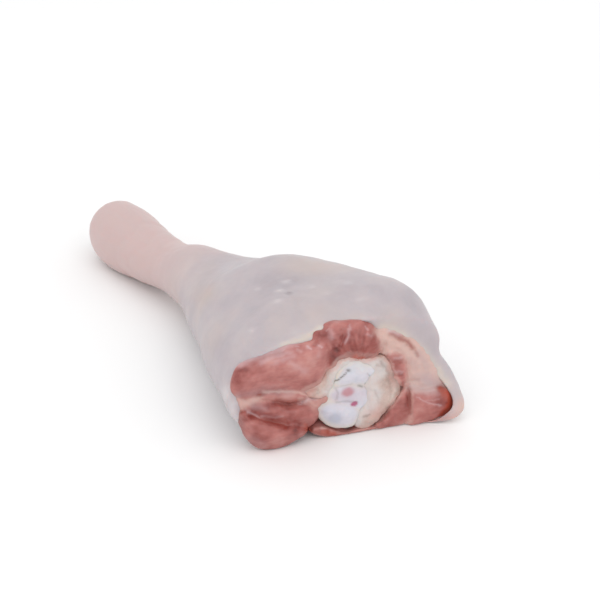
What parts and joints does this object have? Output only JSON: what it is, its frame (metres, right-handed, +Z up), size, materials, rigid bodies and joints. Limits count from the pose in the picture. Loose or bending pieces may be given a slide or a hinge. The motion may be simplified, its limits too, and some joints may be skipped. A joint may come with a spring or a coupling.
{
  "type": "raw turkey drumstick",
  "caption": "Raw poultry leg lying on its side, pale skin closed over the ankle and open at the knee, where muscle, fat and the end of the shin bone show.",
  "frame": {"origin": "middle of the leg's outline, at the height of the table it lies on", "axes": "+X along the leg from the ankle to the knee cut, +Z up from the table, +Y towards the corner of skin that is drawn out into a flap"},
  "size_m": [0.2368, 0.1064, 0.0627],
  "materials": {
    "skin": "damp, soft gloss",
    "flesh": "wet, soft gloss",
    "bone": "wet cartilage, glossy",
    "knee_pad": "greasy, soft gloss"
  },
  "bodies": {
    "root": {"skin": "skin", "flesh": "flesh", "bone": "bone", "knee_pad": "knee_pad"}
  },
  "joints": []
}
